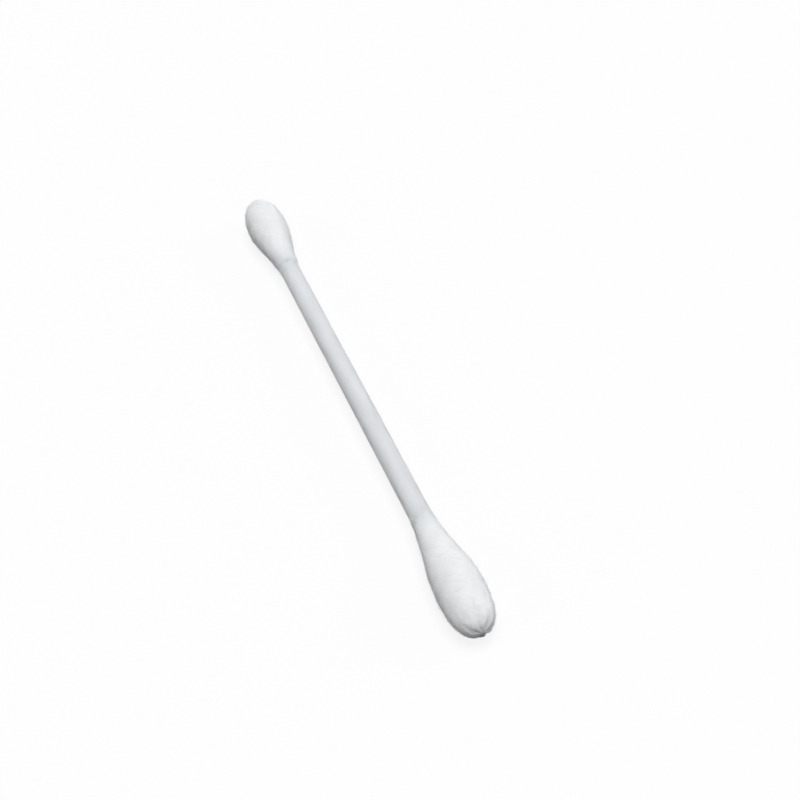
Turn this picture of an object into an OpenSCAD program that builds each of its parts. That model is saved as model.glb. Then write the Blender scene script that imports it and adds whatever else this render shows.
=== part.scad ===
// Double-ended cotton swab, lying on its two buds.
// X runs along the swab, from the small bud to the large one. Z is up, and z = 0 is the surface it lies on.

/* [Whole swab] */
// Length from tip to tip
swab_length = 73; // [66:0.5:80]
// Depth of the flat spot on each bud, where the cotton is pressed by lying on it
rest_press = 0.13; // [0.08:0.01:0.3]

/* [Stem] */
// Outside diameter of the tube
stem_diameter = 2.5; // [2:0.1:3]
// Wall of the tube
stem_wall = 0.5; // [0.3:0.05:0.8]

/* [Large bud] */
// Length of the cotton, from its tip to its edge on the tube
large_length = 15.5; // [13:0.5:20]
// Diameter at the widest place
large_diameter = 5.2; // [4.2:0.1:7]
// Distance of the widest place from the tip
large_belly = 5.2; // [4:0.1:8]
// Bluntness of the tip, where 2 is an ellipse and more is flatter
large_bluntness = 2.5; // [2:0.1:3]

/* [Small bud] */
// Length of the cotton, from its tip to its edge on the tube
small_length = 14; // [12:0.5:18]
// Diameter at the widest place
small_diameter = 5; // [4.2:0.1:7]
// Distance of the widest place from the tip
small_belly = 5.2; // [4:0.1:8]
// Bluntness of the tip, where 2 is an ellipse and more is flatter
small_bluntness = 2.1; // [2:0.1:3]

/* [Cotton] */
// Cotton beyond each end of the tube
tip_cover = 2; // [1.2:0.1:3]
// Gap between the tube and its seat in the cotton
seat_gap = 0; // [0:0.01:0.1]
// Thickness of the cotton's edge on the tube
edge_thickness = 0.08; // [0.05:0.01:0.3]
// Height of the step that the wound lap leaves on the surface
lap_height = 0.05; // [0:0.01:0.12]
// Advance of the lap along the swab in one turn
lap_pitch = 4.6; // [3.5:0.1:8]
// Number of creases where the cotton is gathered in at the tip
crease_count = 7; // [3:1:9]
// Depth of each crease
crease_depth = 0.12; // [0:0.01:0.2]
// Distance of the creases' deepest place from the tip's middle
crease_radius = 0.9; // [0.5:0.05:1.2]

/* [Hidden] */

// Steps of the bud's surface: round it, from the tip to the belly, and from the belly to the edge
round_steps = 48;
nose_steps = 16;
neck_steps = 24;
tube_steps = 64;
// Degrees by which the lap's wave leans over, and how narrow each crease is
lap_lean = 40;
crease_sharpness = 2;
cotton = [0.95, 0.95, 0.94];
plastic = [0.88, 0.89, 0.91];

seat_radius = stem_diameter / 2 + seat_gap;
edge_radius = seat_radius + edge_thickness;

// A bud's own sizes: length, radius at the belly, distance of the belly from the tip, bluntness
large = [large_length, large_diameter / 2, large_belly, large_bluntness];
small = [small_length, small_diameter / 2, small_belly, small_bluntness];

// The swab lies on both bellies, so its axis slopes by the difference of their radii
large_rest_x = swab_length / 2 - large_belly;
small_rest_x = small_belly - swab_length / 2;
large_axis_z = large_diameter / 2 - rest_press;
small_axis_z = small_diameter / 2 - rest_press;
axis_slope = atan((large_axis_z - small_axis_z) / (large_rest_x - small_rest_x));
axis_middle_z = large_axis_z - large_rest_x * tan(axis_slope);

// Falls smoothly from 1 to 0 as share goes from 0 to 1
function fade(share) = (1 + cos(180 * share)) / 2;

// The bud's outline: a blunt nose up to the belly, then a hollow taper down to the edge on the tube
function nose_radius(depth, bud) =
    bud[1] * pow(1 - pow(1 - depth / bud[2], bud[3]), 1 / bud[3]);
function neck_radius(depth, bud) =
    edge_radius + (bud[1] - edge_radius) * fade((depth - bud[2]) / (bud[0] - bud[2]));
function outline_radius(depth, bud) =
    depth < bud[2] ? nose_radius(depth, bud) : neck_radius(depth, bud);

// Distances of the surface's rings from the tip, closer together where the nose rounds over
function ring_depths(bud) = [
    for (i = [1 : nose_steps]) bud[2] * (1 - cos(90 * i / nose_steps)),
    for (i = [1 : neck_steps]) bud[2] + (bud[0] - bud[2]) * i / neck_steps
];

// The lap climbs slowly round each turn and drops in a short step, and is smooth at the tip and the edge
function lap_wave(turns) = let (angle = 360 * turns) (1 + cos(angle + lap_lean * sin(angle))) / 2;
function lap_sink(depth, angle, bud) =
    lap_height * lap_wave(depth / lap_pitch + angle / 360) * sin(180 * depth / bud[0]);

// The creases start at the tip's middle, are deepest at crease_radius and die out towards the belly
function crease_sink(radius, angle) =
    let (reach = radius / crease_radius, fold = (1 + cos(crease_count * angle)) / 2)
    crease_depth * reach * exp(1 - reach) * pow(fold, crease_sharpness);

function ring_point(depth, angle, bud) =
    let (radius = outline_radius(depth, bud) - lap_sink(depth, angle, bud))
    [-depth - crease_sink(radius, angle), radius * cos(angle), radius * sin(angle)];

// Wound cotton with its tip at the origin and its edge towards -X
module wound_cotton(bud) {
    depths = ring_depths(bud);
    last = len(depths) - 1;
    tip = [[0, 0, 0]];
    rings = [
        for (depth = depths, i = [0 : round_steps - 1])
            let (at_edge = depth == depths[last], angle = 360 * i / round_steps)
            at_edge
                ? [-depth, edge_radius * cos(angle), edge_radius * sin(angle)]
                : ring_point(depth, angle, bud)
    ];
    tip_fan = [for (i = [0 : round_steps - 1]) [0, 1 + (i + 1) % round_steps, 1 + i]];
    sides = [
        for (ring = [0 : last - 1], i = [0 : round_steps - 1])
            let (
                near = 1 + ring * round_steps,
                far = near + round_steps,
                next = (i + 1) % round_steps
            )
            each [[near + i, near + next, far + next], [near + i, far + next, far + i]]
    ];
    edge_face = [[for (i = [round_steps - 1 : -1 : 0]) 1 + last * round_steps + i]];
    polyhedron(points = concat(tip, rings), faces = concat(tip_fan, sides, edge_face));
}

// Blind round seat that the tube's end fills, open at the bud's edge
module tube_seat(bud) {
    seat_length = bud[0] - tip_cover;
    translate([-tip_cover, 0, 0])
        rotate([0, -90, 0])
            cylinder(r = seat_radius, h = 2 * seat_length, $fn = tube_steps);
}

// Puts what is drawn along the X axis on the slope at which the swab lies
module lying() {
    translate([0, 0, axis_middle_z])
        rotate([0, -axis_slope, 0])
            children();
}

// Everything below the surface that the swab lies on, under one bud
module ground(bud) {
    translate([-bud[0], -bud[1], -bud[1]])
        cube([2 * bud[0], 2 * bud[1], bud[1]]);
}

// Hollow tube that carries both buds and ends inside them
module stem() {
    tube_length = swab_length - 2 * tip_cover;
    color(plastic)
        lying()
            rotate([0, 90, 0])
                difference() {
                    cylinder(d = stem_diameter, h = tube_length, center = true, $fn = tube_steps);
                    cylinder(
                        d = stem_diameter - 2 * stem_wall,
                        h = tube_length + stem_diameter,
                        center = true,
                        $fn = tube_steps
                    );
                }
}

// Bud at the +X end
module large_bud() {
    color(cotton)
        difference() {
            lying()
                translate([swab_length / 2, 0, 0])
                    difference() {
                        wound_cotton(large);
                        tube_seat(large);
                    }
            translate([large_rest_x, 0, 0])
                ground(large);
        }
}

// Bud at the -X end
module small_bud() {
    color(cotton)
        difference() {
            lying()
                translate([-swab_length / 2, 0, 0])
                    rotate([0, 0, 180])
                        difference() {
                            wound_cotton(small);
                            tube_seat(small);
                        }
            translate([small_rest_x, 0, 0])
                ground(small);
        }
}

stem();
large_bud();
small_bud();
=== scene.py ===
import bpy
import math
import random
from mathutils import Matrix, Vector, noise


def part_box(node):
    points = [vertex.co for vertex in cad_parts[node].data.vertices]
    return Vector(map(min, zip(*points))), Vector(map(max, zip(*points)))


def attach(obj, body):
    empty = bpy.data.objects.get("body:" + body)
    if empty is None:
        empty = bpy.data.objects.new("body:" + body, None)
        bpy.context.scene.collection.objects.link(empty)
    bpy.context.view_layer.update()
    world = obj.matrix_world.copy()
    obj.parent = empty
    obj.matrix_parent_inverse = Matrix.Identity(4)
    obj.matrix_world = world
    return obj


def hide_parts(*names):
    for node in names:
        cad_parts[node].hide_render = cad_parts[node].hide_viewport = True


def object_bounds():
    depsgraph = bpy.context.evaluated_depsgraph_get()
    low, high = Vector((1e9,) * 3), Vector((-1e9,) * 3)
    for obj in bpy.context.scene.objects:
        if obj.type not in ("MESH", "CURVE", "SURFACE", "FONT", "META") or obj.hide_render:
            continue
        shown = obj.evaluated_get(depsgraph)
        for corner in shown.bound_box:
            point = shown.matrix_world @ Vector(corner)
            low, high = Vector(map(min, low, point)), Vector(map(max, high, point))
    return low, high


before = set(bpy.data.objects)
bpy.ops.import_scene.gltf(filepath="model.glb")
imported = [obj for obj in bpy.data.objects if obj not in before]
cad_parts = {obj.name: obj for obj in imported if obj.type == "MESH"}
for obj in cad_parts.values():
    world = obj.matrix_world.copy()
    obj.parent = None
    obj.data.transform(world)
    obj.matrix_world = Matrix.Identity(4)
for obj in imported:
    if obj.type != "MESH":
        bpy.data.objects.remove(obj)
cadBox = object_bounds()
mm = 0.001
turn = 2 * math.pi
speck = 0.001 * mm  # lengths below this count as nothing

# Where the swab lies, worked out from the tube's own box
tube = {"diameter": 2.5 * mm, "length": 69 * mm}
tubeLow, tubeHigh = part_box("stem")
axisSlope = math.asin((tubeHigh.z - tubeLow.z - tube["diameter"]) / tube["length"])
axisMiddle = Vector((0, 0, (tubeLow.z + tubeHigh.z) / 2))
swabPlace = Matrix.Translation(axisMiddle) @ Matrix.Rotation(-axisSlope, 4, "Y")
halfLength = (cadBox[1].x - cadBox[0].x) / 2
print("frame loaded, slope", round(math.degrees(axisSlope), 3))

# Camera at the photograph's viewing angle
cameraValues = {
    "azimuth": math.radians(67.85),
    "elevation": math.radians(46.6),
    "distance": 151 * mm,
    "aim": Vector((2.11 * mm, 5.23 * mm, 0)),
    "lens": 57.8,
    "sensor": 36,
    "nearest": 5 * mm,
    "farthest": 20,
}


def placeCamera(v):
    back = Vector((
        math.sin(v["azimuth"]) * math.cos(v["elevation"]),
        -math.cos(v["azimuth"]) * math.cos(v["elevation"]),
        math.sin(v["elevation"]),
    ))
    bpy.ops.object.camera_add(location=v["aim"] + back * v["distance"])
    camera = bpy.context.object
    camera.rotation_euler = (-back).to_track_quat("-Z", "Y").to_euler()
    camera.data.lens = v["lens"]
    camera.data.sensor_width = v["sensor"]
    camera.data.clip_start = v["nearest"]
    camera.data.clip_end = v["farthest"]
    bpy.context.scene.camera = camera


placeCamera(cameraValues)
print("camera placed")


# Gives each named socket its value, or links it where the value comes from another node
def setSockets(tree, made, values):
    for name, value in values.items():
        if isinstance(value, bpy.types.NodeSocket):
            tree.links.new(value, made.inputs[name])
        else:
            made.inputs[name].default_value = value


def addNode(tree, kind, values=None, **settings):
    made = tree.nodes.new(kind)
    for name, value in settings.items():
        setattr(made, name, value)
    setSockets(tree, made, values or {})
    return made


def addMath(tree, operation, first, second=0):
    made = addNode(tree, "ShaderNodeMath", {0: first, 1: second}, operation=operation)
    return made.outputs[0]


def mixColours(tree, share, first, second):
    made = addNode(tree, "ShaderNodeMix", {0: share, 6: first, 7: second}, data_type="RGBA")
    return made.outputs[2]  # a Mix node's colours are its inputs 6 and 7 and its output 2


# One colour where the value is up to low, the other from high on, and a blend between
def rampColours(tree, value, low, lowColour, high, highColour):
    made = addNode(tree, "ShaderNodeValToRGB", {0: value})
    start, end = made.color_ramp.elements
    start.position = low
    start.color = lowColour
    end.position = high
    end.color = highColour
    return made.outputs[0]


# Rises smoothly from 0 to top while the value goes from start to end
def easeIn(tree, value, start, end, top=1):
    made = addNode(tree, "ShaderNodeMapRange", {
        "Value": value,
        "From Min": start,
        "From Max": end,
        "To Max": top,
    }, interpolation_type="SMOOTHSTEP")
    return made.outputs[0]


def addBump(tree, height, distance):
    made = addNode(tree, "ShaderNodeBump", {"Height": height, "Strength": 1, "Distance": distance})
    return made.outputs[0]


def startMaterial(name):
    material = bpy.data.materials.new(name)
    material.use_nodes = True
    return material, material.node_tree


# An empty shader group that takes a vector and some numbers, and gives one number
def startGroup(name, numbers, result):
    group = bpy.data.node_groups.new(name, "ShaderNodeTree")
    group.interface.new_socket("Vector", in_out="INPUT", socket_type="NodeSocketVector")
    for number in numbers:
        group.interface.new_socket(number, in_out="INPUT", socket_type="NodeSocketFloat")
    group.interface.new_socket(result, in_out="OUTPUT", socket_type="NodeSocketFloat")
    taken = addNode(group, "NodeGroupInput").outputs
    given = addNode(group, "NodeGroupOutput").inputs
    return group, taken, given


# Matt white wound cotton, with painted shade between its fibres
cottonFinish = {
    "lit": (0.925, 0.945, 0.965, 1),  # colour painted lighter where the fibres stand up, as if lit, from litFrom on
    "litFrom": 0.60,
    "hollow": (0.885, 0.905, 0.925, 1),  # colour painted darker between the fibres as painted shade, up to the value below
    "hollowTo": 0.34,
    "film": (0.80, 0.83, 0.845, 1),  # colour where the tube shows through
    "filmStart": 3.2 * mm,  # distance from the edge at which the cotton starts to thin
    "filmRagged": 1.2 * mm,
    "layers": (  # pitch, strands, reach, shift, share of the height
        (12 * mm, 12, 3.0 * mm, 0, 0.30),
        (-16 * mm, 24, 2.2 * mm, 17, 0.35),
        (26 * mm, 48, 1.5 * mm, 41, 0.35),
    ),
    "grainDetail": 3,
    "grainRoughness": 0.55,
    "bumpHeight": 0.035 * mm,
    "roughness": 0.95,
    "specular": 0.1,
    "scatter": 0.3 * mm,
    "scatterWeight": 0.5,  # falls to 0 over the film
}


# Fibres wound in a spiral round the X axis, with the bud's tip at the origin.
# The pattern is slow along the spiral and quick across it, and closes on itself round the bud.
def makeWoundFibres(v):
    group, taken, given = startGroup("woundFibres", ("Pitch", "Strands", "Reach", "Shift"), "Fibres")
    apart = addNode(group, "ShaderNodeSeparateXYZ", {0: taken["Vector"]})
    length = addNode(group, "ShaderNodeVectorMath", {0: taken["Vector"]}, operation="LENGTH")
    fromTip = length.outputs["Value"]
    around = addMath(group, "ARCTAN2", apart.outputs["Z"], apart.outputs["Y"])
    turns = addMath(group, "DIVIDE", fromTip, taken["Pitch"])
    wound = addMath(group, "SUBTRACT", around, addMath(group, "MULTIPLY", turns, turn))
    along = addMath(group, "DIVIDE", fromTip, taken["Reach"])
    across = addNode(group, "ShaderNodeCombineXYZ", {
        "X": addMath(group, "MULTIPLY", addMath(group, "COSINE", wound), taken["Strands"]),
        "Y": addMath(group, "MULTIPLY", addMath(group, "SINE", wound), taken["Strands"]),
        "Z": addMath(group, "ADD", along, taken["Shift"]),
    })
    grain = addNode(group, "ShaderNodeTexNoise", {
        "Vector": across.outputs[0],
        "Scale": 1,
        "Detail": v["grainDetail"],
        "Roughness": v["grainRoughness"],
    })
    group.links.new(grain.outputs["Fac"], given["Fibres"])
    return group


# The cotton thins to a film from Start to End, sooner where it stands up and later where it is hollow
def makeFilmEdge():
    group, taken, given = startGroup("filmEdge", ("Height", "Start", "End", "Ragged"), "Thin")
    apart = addNode(group, "ShaderNodeSeparateXYZ", {0: taken["Vector"]})
    depth = addMath(group, "MULTIPLY", apart.outputs["X"], -1)
    uneven = addMath(group, "SUBTRACT", taken["Height"], 0.5)  # the fibres' noise is about 0.5 on average
    shifted = addMath(group, "ADD", depth, addMath(group, "MULTIPLY", uneven, taken["Ragged"]))
    group.links.new(easeIn(group, shifted, taken["Start"], taken["End"]), given["Thin"])
    return group


woundFibres = makeWoundFibres(cottonFinish)
filmEdge = makeFilmEdge()


# The cotton of one bud. In local coordinates its tip is the origin and its length lies along -X.
def makeCotton(name, place, length):
    v = cottonFinish
    material, tree = startMaterial(name)
    local = addNode(tree, "ShaderNodeMapping", {
        "Vector": addNode(tree, "ShaderNodeTexCoord").outputs["Object"],
        "Location": place.to_translation(),
        "Rotation": place.to_euler(),
    }, vector_type="TEXTURE").outputs[0]
    height = 0
    for pitch, strands, reach, shift, share in v["layers"]:
        layer = addNode(tree, "ShaderNodeGroup", {
            "Vector": local,
            "Pitch": pitch,
            "Strands": strands,
            "Reach": reach,
            "Shift": shift,
        }, node_tree=woundFibres)
        height = addMath(tree, "ADD", height, addMath(tree, "MULTIPLY", layer.outputs[0], share))
    thin = addNode(tree, "ShaderNodeGroup", {
        "Vector": local,
        "Height": height,
        "Start": length - v["filmStart"],
        "End": length,
        "Ragged": v["filmRagged"],
    }, node_tree=filmEdge).outputs[0]
    # Painted shade: the colour follows the fibres' height, darker in the hollows between them and lighter
    # where they stand up
    woolAndHollowShade = rampColours(tree, height, v["hollowTo"], v["hollow"], v["litFrom"], v["lit"])
    x = addNode(tree, "ShaderNodeSeparateXYZ", {0: local}).outputs["X"]
    setSockets(tree, tree.nodes["Principled BSDF"], {
        "Base Color": mixColours(tree, thin, woolAndHollowShade, v["film"]),
        "Roughness": v["roughness"],
        "Specular IOR Level": v["specular"],
        "Subsurface Weight": easeIn(tree, x, -length, v["filmStart"] - length, v["scatterWeight"]),
        "Subsurface Radius": (1, 1, 1),
        "Subsurface Scale": v["scatter"],
        "Normal": addBump(tree, height, v["bumpHeight"]),
    })
    return material


# Each bud's sizes, which are those of its solid, its turn about Z and the seed of its noise
budValues = {
    "large_bud": {
        "length": 15.5 * mm,
        "bellyRadius": 2.6 * mm,
        "bellyDepth": 5.2 * mm,
        "bluntness": 2.5,
        "facing": 0,
        "seed": 3,
    },
    "small_bud": {
        "length": 14 * mm,
        "bellyRadius": 2.5 * mm,
        "bellyDepth": 5.2 * mm,
        "bluntness": 2.1,
        "facing": math.pi,
        "seed": 8,
    },
}
windValues = {
    "spinSteps": 96,
    "noseSteps": 22,
    "neckSteps": 34,
    "tipCover": 2 * mm,  # cotton beyond the tube's end
    "seatRadius": 0.85 * mm,  # inside the tube's wall, so the hollow never shows
    "seatRows": (0, 0.05, 0.3, 0.6, 0.95, 1),  # closer together at its ends, which keeps them sharp
    "seatFloor": 0.6,  # share of its radius at which its floor has a ring
    "seatMargin": 0.5 * mm,  # points within this of the seat along the swab, and within
    "seatSkin": 0.02 * mm,  # this of it across the swab, keep their places
    "edgeRadius": 1.33 * mm,
    "filmRadius": 1.235 * mm,  # just under the tube's surface, so the film runs out on it
    "filmLength": 2 * mm,
    "lapHeight": 0.05 * mm,
    "lapPitch": 4.6 * mm,
    "lapLean": 0.7,
    "creases": 7,
    "creaseSharpness": 2,
    "creaseDepth": 0.12 * mm,
    "creaseRadius": 0.9 * mm,
    "pleatDepth": 0.06 * mm,
    "pleatRadius": 1.0 * mm,
    "pleatStrands": 3.2,
    "pleatTwist": 0.35,
    "pleatDrift": 0.5,
    "gatherFade": 0.5,  # share of the nose over which creases and pleats die out before the belly
    "wisps": (  # pitch, strands, reach, shift, height
        (16 * mm, 0.9, 3.5 * mm, 5, 0.07 * mm),
        (-12 * mm, 1.6, 2.4 * mm, 29, 0.025 * mm),
        (8 * mm, 3.4, 1.6 * mm, 53, 0.012 * mm),
    ),
    "wispStart": 1.2 * mm,  # distance from the tip at which the wisps are full
    "wispEnd": 3 * mm,  # distance from the edge at which they start to die out
    "wispEdge": 0.25,  # share of them that is left at the edge
    "tongues": (14 * mm, 10, 2.5 * mm, 91, 0.03 * mm),  # one more layer of wisps, at the edge alone
    "lift": 0.01 * mm,  # height of the pressed cotton above the floor
}


def outlineRadius(depth, bud):
    w = windValues
    if depth < bud["bellyDepth"]:
        rise = 1 - (1 - depth / bud["bellyDepth"]) ** bud["bluntness"]
        return bud["bellyRadius"] * rise ** (1 / bud["bluntness"])
    share = (depth - bud["bellyDepth"]) / (bud["length"] - bud["bellyDepth"])
    radius = w["edgeRadius"] + (bud["bellyRadius"] - w["edgeRadius"]) * (1 + math.cos(math.pi * share)) / 2
    thinning = max(0, 1 - (bud["length"] - depth) / w["filmLength"])
    return radius - (w["edgeRadius"] - w["filmRadius"]) * thinning


# Points from the tip over the nose, belly and neck, and back along the tube's seat
def budOutline(bud):
    w = windValues
    points = [(0, 0)]
    for i in range(1, w["noseSteps"] + 1):
        depth = bud["bellyDepth"] * (1 - math.cos(math.pi / 2 * i / w["noseSteps"]))
        points.append((depth, outlineRadius(depth, bud)))
    for i in range(1, w["neckSteps"] + 1):
        depth = bud["bellyDepth"] + (bud["length"] - bud["bellyDepth"]) * i / w["neckSteps"]
        points.append((depth, outlineRadius(depth, bud)))
    for share in w["seatRows"]:
        points.append((bud["length"] + (w["tipCover"] - bud["length"]) * share, w["seatRadius"]))
    points.append((w["tipCover"], w["seatFloor"] * w["seatRadius"]))
    points.append((w["tipCover"], 0))
    return points


# Extrudes one vertex along the outline and spins the chain round the X axis
def spinOutline(name, points, steps):
    bpy.ops.object.select_all(action="DESELECT")
    bpy.ops.mesh.primitive_plane_add(size=mm, location=(0, 0, 0))
    made = bpy.context.object
    made.name = name
    made.data.name = name
    bpy.ops.object.mode_set(mode="EDIT")
    bpy.ops.mesh.select_all(action="SELECT")
    bpy.ops.mesh.merge(type="CENTER")
    for before, after in zip(points, points[1:]):
        step = (before[0] - after[0], 0, after[1] - before[1])
        bpy.ops.mesh.extrude_region_move(TRANSFORM_OT_translate={"value": step})
    bpy.ops.mesh.select_all(action="SELECT")
    bpy.ops.mesh.spin(steps=steps, angle=turn, center=(0, 0, 0), axis=(1, 0, 0))
    bpy.ops.mesh.select_all(action="SELECT")
    bpy.ops.mesh.remove_doubles(threshold=speck)
    bpy.ops.mesh.normals_make_consistent(inside=False)
    bpy.ops.object.mode_set(mode="OBJECT")
    return made


def spiralNoise(around, along, pitch, strands, reach, shift):
    wound = around - turn * along / pitch
    return noise.noise(Vector((math.cos(wound) * strands, math.sin(wound) * strands, along / reach + shift)))


# Grows from 0 at the tip's middle to 1 at the greatest radius, and dies out beyond it
def swell(radius, greatest):
    share = radius / greatest
    return share * math.exp(1 - share)


# How deep the cotton is drawn in at the tip: even creases, with finer uneven pleats between them
def gatherDepth(around, radius, bud):
    w = windValues
    crease = ((1 + math.cos(w["creases"] * around)) / 2) ** w["creaseSharpness"]
    pleatShare = radius / w["pleatRadius"]
    twisted = around + w["pleatTwist"] * pleatShare
    pleat = noise.noise(Vector((
        w["pleatStrands"] * math.cos(twisted),
        w["pleatStrands"] * math.sin(twisted),
        w["pleatDrift"] * pleatShare + bud["seed"],
    )))
    creased = w["creaseDepth"] * swell(radius, w["creaseRadius"]) * crease
    return creased + w["pleatDepth"] * swell(radius, w["pleatRadius"]) * (1 - abs(2 * pleat))


# How far the wound surface lies above the plain outline, and how deep it is gathered in
def windRelief(around, depth, radius, bud):
    w = windValues
    lapTurn = turn * depth / w["lapPitch"] + around
    lap = (1 + math.cos(lapTurn + w["lapLean"] * math.sin(lapTurn))) / 2
    lapFade = max(0.0, math.sin(math.pi * min(1.0, depth / bud["length"])))
    out = -w["lapHeight"] * lap * lapFade
    fromTip = math.hypot(depth, radius)
    offTip = min(1.0, fromTip / w["wispStart"])  # 0 at the tip
    offEdge = min(1.0, max(0.0, (bud["length"] - depth) / w["wispEnd"]))  # 0 at the edge
    pitch, strands, reach, shift, height = w["tongues"]
    out += height * (1 - offEdge) * spiralNoise(around, depth, pitch, strands, reach, shift + bud["seed"])
    kept = offTip * (w["wispEdge"] + (1 - w["wispEdge"]) * offEdge)
    for pitch, strands, reach, shift, height in w["wisps"]:
        out += height * kept * spiralNoise(around, fromTip, pitch, strands, reach, shift + bud["seed"])
    if depth > bud["bellyDepth"]:
        return out, 0
    gatherFade = min(1, (1 - depth / bud["bellyDepth"]) / w["gatherFade"])
    return out, gatherDepth(around, radius, bud) * gatherFade


def windCotton(made, bud):
    w = windValues
    for vertex in made.data.vertices:
        x, y, z = vertex.co
        depth = -x
        radius = math.hypot(y, z)
        inSeat = depth > w["tipCover"] - w["seatMargin"] and radius < w["seatRadius"] + w["seatSkin"]
        if inSeat or radius < speck:
            continue
        out, sunk = windRelief(math.atan2(z, y), depth, radius, bud)
        newRadius = radius + out
        vertex.co = (x - sunk, y * newRadius / radius, z * newRadius / radius)


# The cotton is flat where it lies on the floor
def pressFlat(made):
    for vertex in made.data.vertices:
        vertex.co.z = max(vertex.co.z, windValues["lift"])


def budPlace(bud):
    tip = Matrix.Translation((halfLength, 0, 0))
    return swabPlace @ Matrix.Rotation(bud["facing"], 4, "Z") @ tip


def makeBud(node):
    bud = budValues[node]
    made = spinOutline(node + "_cotton", budOutline(bud), windValues["spinSteps"])
    rounding = made.modifiers.new("rounding", "SUBSURF")
    rounding.levels = 2
    rounding.render_levels = 2
    bpy.ops.object.modifier_apply(modifier=rounding.name)
    windCotton(made, bud)
    made.data.transform(budPlace(bud))
    pressFlat(made)
    bpy.ops.object.shade_smooth()
    made.data.materials.append(makeCotton(node + "Cotton", budPlace(bud), bud["length"]))
    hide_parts(node)
    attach(made, "root")
    print(node, "cotton wound,", len(made.data.polygons), "faces")


for node in budValues:
    makeBud(node)

fuzzFinish = {
    "shaded": (0.93, 0.94, 0.95, 1),
    "pale": (0.96, 0.97, 0.98, 1),
    "tintScale": 900,
    "roughness": 0.9,
    "specular": 0.1,
}


def makeFuzzMaterial(v):
    material, tree = startMaterial("looseFibres")
    tint = addNode(tree, "ShaderNodeTexNoise", {
        "Vector": addNode(tree, "ShaderNodeTexCoord").outputs["Object"],
        "Scale": v["tintScale"],
    })
    setSockets(tree, tree.nodes["Principled BSDF"], {
        "Base Color": rampColours(tree, tint.outputs["Fac"], 0, v["shaded"], 1, v["pale"]),
        "Roughness": v["roughness"],
        "Specular IOR Level": v["specular"],
    })
    return material


fuzzMaterial = makeFuzzMaterial(fuzzFinish)

# Loose fibres that stand a little off the cotton, and strays that reach past its edge on the tube.
# Angles are from the line round the bud, towards the edge, in radians.
fuzzValues = {
    "count": 2200,
    "strays": 260,
    "strayStart": 1.2 * mm,  # strays start within this of the edge
    "edgeward": 0.9,  # under 1 moves the fibres' starts a little towards the edge
    "edgeGap": 0.3 * mm,
    "edgeMargin": 0.05 * mm,
    "points": 7,
    "radius": 0.007 * mm,
    "endTaper": 0.4,
    "shortest": 0.4 * mm,
    "longest": 1.3 * mm,
    "rise": 0.10 * mm,
    "strayRise": 0.5,
    "arch": 0.8,  # how much of a half wave each fibre's height follows
    "slant": (0.25, 0.45),  # middle and spread
    "straySlant": (0.9, 0.5),
    "curl": 0.5,
    "tipSlant": 1.2,  # extra slant at the tip, gone at tipReach
    "tipReach": 2.5 * mm,
    "tipMargin": 0.02 * mm,
    "tightest": 0.5 * mm,  # least radius that a fibre bends round
    "floorMargin": 0.03 * mm,
}


# A point on the cotton, or on the bare tube past the cotton's edge
def surfacePoint(bud, depth, around):
    radius = tube["diameter"] / 2
    out = 0
    sunk = 0
    if depth <= bud["length"]:
        radius = outlineRadius(depth, bud)
        out, sunk = windRelief(around, depth, radius, bud)
    return Vector((-depth - sunk, (radius + out) * math.cos(around), (radius + out) * math.sin(around)))


# Draws one fibre's start and bends by chance, with fewer where the bud is slim
def drawFibre(chance, bud, stray):
    v = fuzzValues
    depth = bud["length"] * chance.random() ** v["edgeward"]
    radius = outlineRadius(depth, bud)  # a stray keeps this one, though it is put at the edge
    if stray:
        depth = bud["length"] - v["strayStart"] * chance.random()
    elif chance.random() > radius / bud["bellyRadius"] or depth > bud["length"] - v["edgeGap"]:
        return None
    fibre = {"stray": stray, "depth": depth, "radius": radius}
    fibre["around"] = chance.uniform(-math.pi, math.pi)
    fibre["long"] = chance.uniform(v["shortest"], v["longest"])
    fibre["slant"] = chance.gauss(*v["slant"])
    if stray:
        fibre["slant"] = chance.gauss(*v["straySlant"])
    fibre["rise"] = abs(chance.gauss(0, v["rise"])) * (v["strayRise"] if stray else 1)
    fibre["curl"] = chance.gauss(0, v["curl"])
    return fibre


def fibrePoints(fibre, bud, place):
    v = fuzzValues
    tipTurn = v["tipSlant"] * max(0, 1 - fibre["depth"] / v["tipReach"])
    points = []
    for i in range(v["points"]):
        share = i / (v["points"] - 1)
        run = fibre["long"] * share
        heading = fibre["slant"] + fibre["curl"] * share + tipTurn
        depth = max(fibre["depth"] + run * math.sin(heading), v["tipMargin"])
        if not fibre["stray"]:
            depth = min(depth, bud["length"] - v["edgeMargin"])
        around = fibre["around"] + run * math.cos(heading) / max(fibre["radius"], v["tightest"])
        base = surfacePoint(bud, depth, around)
        outward = Vector((0, base.y, base.z)).normalized()
        lean = Vector((1, 0, 0)) * max(0.0, 1 - depth / bud["bellyDepth"]) ** 2  # off the tip
        height = v["radius"] + fibre["rise"] * math.sin(v["arch"] * math.pi * share)
        points.append(place @ (base + (outward + lean).normalized() * height))
    return points


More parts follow.
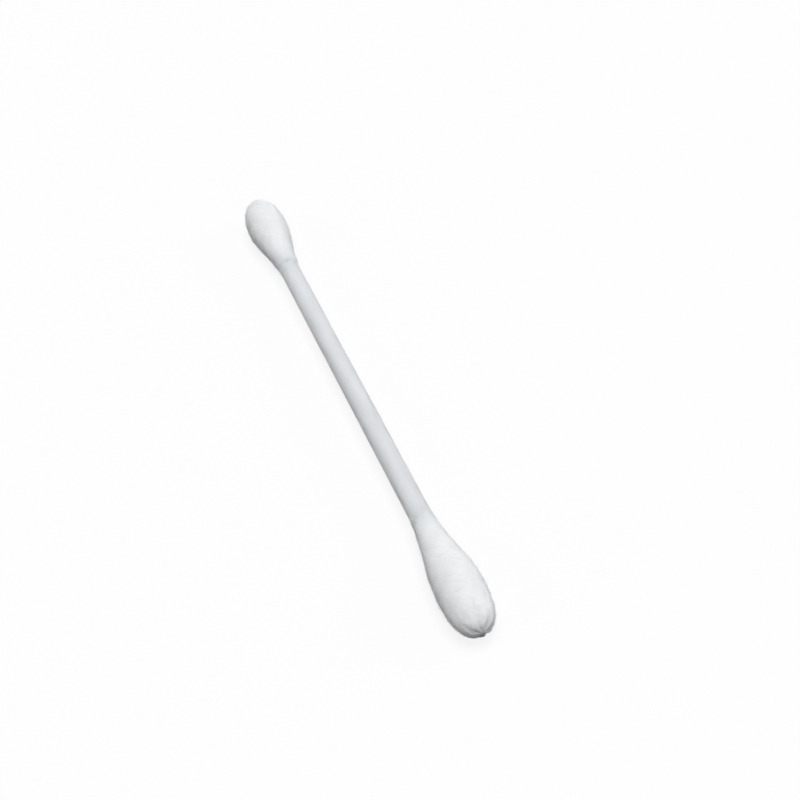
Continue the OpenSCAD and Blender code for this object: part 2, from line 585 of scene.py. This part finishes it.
def growFuzz(node):
    v = fuzzValues
    bud = budValues[node]
    chance = random.Random(bud["seed"])
    place = budPlace(bud)
    bpy.ops.object.select_all(action="DESELECT")
    curve = bpy.data.curves.new(node + "_fuzz", "CURVE")
    curve.dimensions = "3D"
    curve.bevel_depth = v["radius"]
    curve.bevel_resolution = 0
    curve.use_fill_caps = True
    grown = 0
    while grown < v["count"] + v["strays"]:
        fibre = drawFibre(chance, bud, grown >= v["count"])
        if fibre is None:
            continue
        points = fibrePoints(fibre, bud, place)
        if min(point.z for point in points) < v["floorMargin"]:
            continue
        spline = curve.splines.new("POLY")
        spline.points.add(len(points) - 1)
        for target, point in zip(spline.points, points):
            target.co = (*point, 1)
            target.radius = 1
        spline.points[-1].radius = v["endTaper"]
        grown += 1
    made = bpy.data.objects.new(node + "_fuzz", curve)
    bpy.context.scene.collection.objects.link(made)
    bpy.context.view_layer.objects.active = made
    made.select_set(True)
    bpy.ops.object.convert(target="MESH")
    made = bpy.context.object
    made.data.materials.append(fuzzMaterial)
    bpy.ops.object.shade_smooth()
    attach(made, "root")
    print(node, "fuzz grown,", len(made.data.polygons), "faces")


for node in budValues:
    growFuzz(node)

# Milky plastic of the tube, with faint lengthwise lines from its extrusion
stemFinish = {
    "pale": (0.67, 0.695, 0.715, 1),
    "paleFrom": 0.65,
    "dim": (0.64, 0.665, 0.685, 1),
    "dimTo": 0.35,
    "lines": (60, 2600, 2600),
    "lineDetail": 2,
    "lineDepth": 0.004 * mm,
    "cloudScale": 160,
    "cloudDetail": 3,
    "haze": (0.79, 0.815, 0.83, 1),  # beside each bud
    "hazeReach": 1.0 * mm,
    "hazeOverlap": 0.2 * mm,
    "smoothest": 0.5,
    "roughest": 0.65,
    "ior": 1.49,
    "coatRoughness": 0.65,
    "coatIor": 1.6,
    "scatter": 3 * mm,
    "smoothUnder": math.radians(40),
}


def makePlastic(v):
    material, tree = startMaterial("milkyPlastic")
    where = addNode(tree, "ShaderNodeTexCoord").outputs["Object"]
    stretched = addNode(tree, "ShaderNodeMapping", {"Vector": where, "Scale": v["lines"]})
    lines = addNode(tree, "ShaderNodeTexNoise", {
        "Vector": stretched.outputs[0],
        "Scale": 1,
        "Detail": v["lineDetail"],
    }).outputs["Fac"]
    cloud = addNode(tree, "ShaderNodeTexNoise", {
        "Vector": where,
        "Scale": v["cloudScale"],
        "Detail": v["cloudDetail"],
    }).outputs["Fac"]
    uneven = addMath(tree, "MULTIPLY", addMath(tree, "ADD", lines, cloud), 0.5)
    milky = rampColours(tree, uneven, v["dimTo"], v["dim"], v["paleFrom"], v["pale"])
    x = addNode(tree, "ShaderNodeSeparateXYZ", {0: where}).outputs["X"]
    haze = 0
    for bud in budValues.values():
        edge = halfLength - bud["length"]
        towardBud = addMath(tree, "MULTIPLY", x, math.cos(bud["facing"]))
        near = easeIn(tree, towardBud, edge - v["hazeReach"], edge + v["hazeOverlap"])
        haze = addMath(tree, "ADD", haze, near)
    rough = addNode(tree, "ShaderNodeMapRange", {
        "Value": uneven,
        "To Min": v["smoothest"],
        "To Max": v["roughest"],
    })
    shader = tree.nodes["Principled BSDF"]
    shader.subsurface_method = "BURLEY"  # evens the light out round a thin hollow wall
    setSockets(tree, shader, {
        "Base Color": mixColours(tree, haze, milky, v["haze"]),
        "Roughness": rough.outputs[0],
        "IOR": v["ior"],
        "Normal": addBump(tree, lines, v["lineDepth"]),
        "Coat Weight": 1,
        "Coat Roughness": v["coatRoughness"],
        "Coat IOR": v["coatIor"],
        "Subsurface Weight": 1,
        "Subsurface Radius": (1, 1, 1),
        "Subsurface Scale": v["scatter"],
    })
    return material


def finishStem(v):
    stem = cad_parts["stem"]
    stem.data.materials.clear()
    stem.data.materials.append(makePlastic(v))
    for face in stem.data.polygons:
        face.material_index = 0
    bpy.ops.object.select_all(action="DESELECT")
    stem.select_set(True)
    bpy.context.view_layer.objects.active = stem
    bpy.ops.object.shade_smooth_by_angle(angle=v["smoothUnder"])


finishStem(stemFinish)
print("stem finished")

# Pale floor, which looks white to the camera and keeps the swab's shadow
stageValues = {
    "floorSize": 6,
    "floorColour": (0.07, 0.07, 0.07, 1),
    "seenColour": (0.13, 0.13, 0.13, 1),
    "cameraLift": 0.86,
    "skyColour": (1, 1, 1, 1),
    "skyStrength": 0.12,
}


# The amount for rays from the camera, off gloss and through clear surfaces, and 0 for all others
def showWhite(tree, amount):
    path = addNode(tree, "ShaderNodeLightPath")
    seen = addMath(tree, "MAXIMUM", path.outputs["Is Camera Ray"], path.outputs["Is Glossy Ray"])
    seen = addMath(tree, "MAXIMUM", seen, path.outputs["Is Transmission Ray"])
    return addMath(tree, "MULTIPLY", seen, amount)


def makeFloor(v):
    bpy.ops.object.select_all(action="DESELECT")
    bpy.ops.mesh.primitive_plane_add(size=v["floorSize"], location=(0, 0, 0))
    floor = bpy.context.object
    floor.name = "floor"
    material, tree = startMaterial("paleFloor")
    tree.nodes.clear()
    colour = mixColours(tree, showWhite(tree, 1), v["floorColour"], v["seenColour"])
    matt = addNode(tree, "ShaderNodeBsdfDiffuse", {"Color": colour})
    glow = addNode(tree, "ShaderNodeEmission", {"Strength": showWhite(tree, v["cameraLift"])})
    both = addNode(tree, "ShaderNodeAddShader", {0: matt.outputs[0], 1: glow.outputs[0]})
    addNode(tree, "ShaderNodeOutputMaterial", {"Surface": both.outputs[0]})
    floor.data.materials.append(material)


def makeSky(v):
    world = bpy.data.worlds.new("softSky")
    bpy.context.scene.world = world
    world.use_nodes = True
    tree = world.node_tree
    strength = addMath(tree, "ADD", showWhite(tree, 1 - v["skyStrength"]), v["skyStrength"])
    setSockets(tree, tree.nodes["Background"], {"Color": v["skyColour"], "Strength": strength})


makeFloor(stageValues)
makeSky(stageValues)

# Soft lamps that face the swab, in metres and watts
lamps = {
    "top": {"place": (0, 0, 1.5), "size": 0.9, "power": 18},
    "right": {"place": (0, 1.44, 0.48), "size": 0.9, "power": 6.8},
    "left": {"place": (0, -1.44, 0.48), "size": 0.9, "power": 4.5},
    "front": {"place": (1.44, 0, 0.48), "size": 0.9, "power": 1},
}
for name, lamp in lamps.items():
    bpy.ops.object.light_add(type="AREA", location=lamp["place"])
    light = bpy.context.object
    light.name = name
    light.rotation_euler = (-Vector(lamp["place"])).to_track_quat("-Z", "Y").to_euler()
    light.data.size = lamp["size"]
    light.data.energy = lamp["power"]
bpy.context.scene.view_settings.view_transform = "Standard"
print("stage and lamps set")
